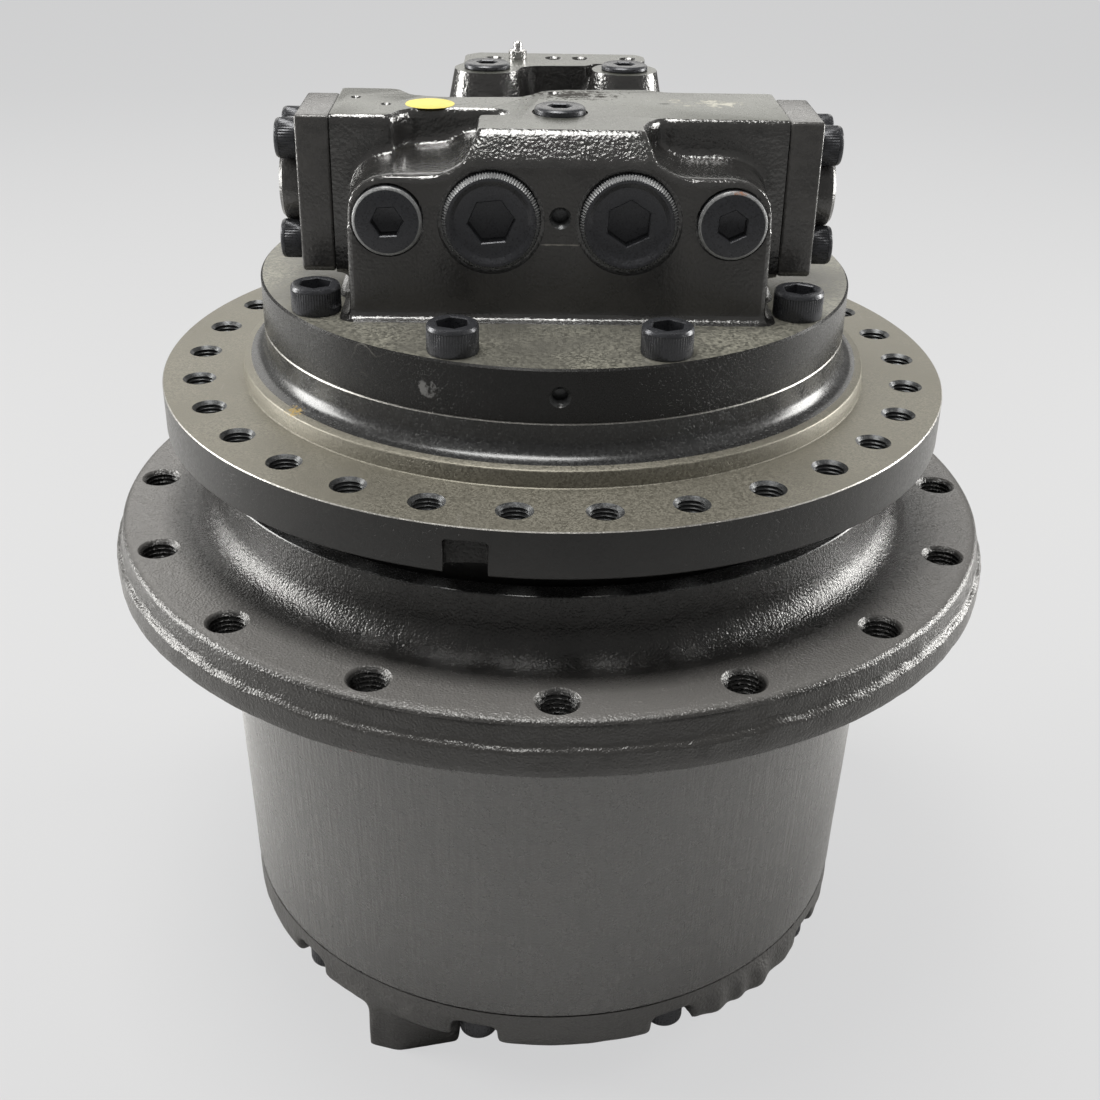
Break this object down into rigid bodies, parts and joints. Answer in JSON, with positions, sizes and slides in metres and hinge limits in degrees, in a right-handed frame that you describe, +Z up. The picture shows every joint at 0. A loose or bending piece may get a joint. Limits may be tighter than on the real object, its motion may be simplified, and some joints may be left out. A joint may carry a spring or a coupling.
{
  "type": "excavator final drive",
  "caption": "Travel drive for a tracked excavator: a planetary gear hub with a sprocket flange turns round a fixed spindle that carries a hydraulic motor with its valve block.",
  "frame": {"origin": "centre of the lowest face, the middle of the end cover, on the turned axis", "axes": "+Z up along the turned axis, from the end cover to the motor; the relief valve plugs face -Y; +X to the right when seen from the front"},
  "size_m": [0.487, 0.487, 0.513],
  "materials": {
    "painted_casting": "satin black paint over a rough casting",
    "gloss_painted_casting": "gloss black paint over a rough casting",
    "bare_flange_casting": "machined faces, fine sparkle",
    "black_oxide_steel": "black oxide",
    "ground_steel": "ground",
    "bearing_steel": "polished",
    "bronze": "machined"
  },
  "bodies": {
    "spindle": {"spindle_housing": "bare_flange_casting", "valve_block": "gloss_painted_casting", "motor_bolt_1": "black_oxide_steel", "motor_bolt_2": "black_oxide_steel", "motor_bolt_3": "black_oxide_steel", "motor_bolt_4": "black_oxide_steel", "motor_bolt_5": "black_oxide_steel", "motor_bolt_6": "black_oxide_steel", "motor_bolt_7": "black_oxide_steel", "motor_bolt_8": "black_oxide_steel", "side_cover_left": "gloss_painted_casting", "side_cover_right": "gloss_painted_casting", "relief_plug_left": "black_oxide_steel", "relief_plug_right": "black_oxide_steel", "check_plug_left": "black_oxide_steel", "check_plug_right": "black_oxide_steel", "top_port_plug": "black_oxide_steel", "rear_plug_left": "black_oxide_steel", "rear_plug_right": "black_oxide_steel", "bleed_fitting": "bearing_steel", "planet_holder_plate": "painted_casting", "second_planet_pin_1": "ground_steel", "second_planet_pin_2": "ground_steel", "second_planet_pin_3": "ground_steel", "bearing_nut": "ground_steel", "main_bearing_inner_lower": "bearing_steel", "main_bearing_inner_upper": "bearing_steel", "seal_ring_fixed": "bearing_steel", "shaft_bearing": "bearing_steel", "valve_plate": "ground_steel", "brake_steel_plate": "ground_steel", "brake_spring_1": "ground_steel", "brake_spring_2": "ground_steel"},
    "hub": {"sprocket_hub": "painted_casting", "end_cover": "painted_casting", "drain_plug": "black_oxide_steel", "fill_plug": "black_oxide_steel", "level_plug": "black_oxide_steel", "main_bearing_outer_lower": "bearing_steel", "main_bearing_outer_upper": "bearing_steel", "seal_ring_rotating": "bearing_steel"},
    "rollers_lower": {"main_bearing_rollers_lower": "bronze"},
    "rollers_upper": {"main_bearing_rollers_upper": "bronze"},
    "second_planet_gear_1": {"second_planet_1": "ground_steel"},
    "second_planet_gear_2": {"second_planet_2": "ground_steel"},
    "second_planet_gear_3": {"second_planet_3": "ground_steel"},
    "carrier": {"first_carrier": "ground_steel", "second_sun": "ground_steel"},
    "first_planet_gear_1": {"first_planet_1": "ground_steel"},
    "first_planet_gear_2": {"first_planet_2": "ground_steel"},
    "first_planet_gear_3": {"first_planet_3": "ground_steel"},
    "rotor": {"drive_shaft": "ground_steel", "cylinder_block": "bronze", "brake_friction_plate": "bronze"},
    "brake": {"brake_piston": "ground_steel"},
    "swash": {"swash_plate": "ground_steel"},
    "spool": {"counterbalance_spool": "ground_steel"}
  },
  "joints": [
    {"name": "hub_spin", "type": "hinge", "parent": "spindle", "child": "hub", "pos_m": [0, 0, 0.2], "axis": [0, 0, 1], "continuous": true},
    {"name": "lower_roller_spin", "type": "hinge", "parent": "spindle", "child": "rollers_lower", "pos_m": [0, 0, 0.218], "axis": [0, 0, 1], "continuous": true},
    {"name": "upper_roller_spin", "type": "hinge", "parent": "spindle", "child": "rollers_upper", "pos_m": [0, 0, 0.277], "axis": [0, 0, 1], "continuous": true},
    {"name": "second_planet_1_spin", "type": "hinge", "parent": "spindle", "child": "second_planet_gear_1", "pos_m": [0, 0.09, 0.1476], "axis": [0, 0, 1], "continuous": true},
    {"name": "second_planet_2_spin", "type": "hinge", "parent": "spindle", "child": "second_planet_gear_2", "pos_m": [-0.07794, -0.045, 0.1476], "axis": [0, 0, 1], "continuous": true},
    {"name": "second_planet_3_spin", "type": "hinge", "parent": "spindle", "child": "second_planet_gear_3", "pos_m": [0.07794, -0.045, 0.1476], "axis": [0, 0, 1], "continuous": true},
    {"name": "carrier_spin", "type": "hinge", "parent": "spindle", "child": "carrier", "pos_m": [0, 0, 0.0956], "axis": [0, 0, 1], "continuous": true},
    {"name": "first_planet_1_spin", "type": "hinge", "parent": "carrier", "child": "first_planet_gear_1", "pos_m": [0, 0.09, 0.0736], "axis": [0, 0, 1], "continuous": true},
    {"name": "first_planet_2_spin", "type": "hinge", "parent": "carrier", "child": "first_planet_gear_2", "pos_m": [-0.07794, -0.045, 0.0736], "axis": [0, 0, 1], "continuous": true},
    {"name": "first_planet_3_spin", "type": "hinge", "parent": "carrier", "child": "first_planet_gear_3", "pos_m": [0.07794, -0.045, 0.0736], "axis": [0, 0, 1], "continuous": true},
    {"name": "rotor_spin", "type": "hinge", "parent": "spindle", "child": "rotor", "pos_m": [0, 0, 0.3], "axis": [0, 0, 1], "continuous": true},
    {"name": "brake_release", "type": "slide", "parent": "spindle", "child": "brake", "axis": [0, 0, 1], "range_m": [0, 0.002], "stiffness_N_per_m": 20000, "springref_m": -0.01, "deforming": ["brake_spring_1", "brake_spring_2"]},
    {"name": "swash_tilt", "type": "hinge", "parent": "spindle", "child": "swash", "pos_m": [0, 0, 0.2566], "axis": [1, 0, 0], "range_deg": [-8, 0]},
    {"name": "spool_shift", "type": "slide", "parent": "spindle", "child": "spool", "axis": [1, 0, 0], "range_m": [-0.006, 0.006], "stiffness_N_per_m": 5000}
  ],
  "couplings": [
    {"joint": "lower_roller_spin", "follows": "hub_spin", "ratio": 0.5165},
    {"joint": "upper_roller_spin", "follows": "hub_spin", "ratio": 0.5165},
    {"joint": "second_planet_1_spin", "follows": "hub_spin", "ratio": 2.5},
    {"joint": "second_planet_2_spin", "follows": "hub_spin", "ratio": 2.5},
    {"joint": "second_planet_3_spin", "follows": "hub_spin", "ratio": 2.5},
    {"joint": "carrier_spin", "follows": "hub_spin", "ratio": -5},
    {"joint": "first_planet_1_spin", "follows": "hub_spin", "ratio": 15},
    {"joint": "first_planet_2_spin", "follows": "hub_spin", "ratio": 15},
    {"joint": "first_planet_3_spin", "follows": "hub_spin", "ratio": 15},
    {"joint": "rotor_spin", "follows": "hub_spin", "ratio": -35}
  ]
}
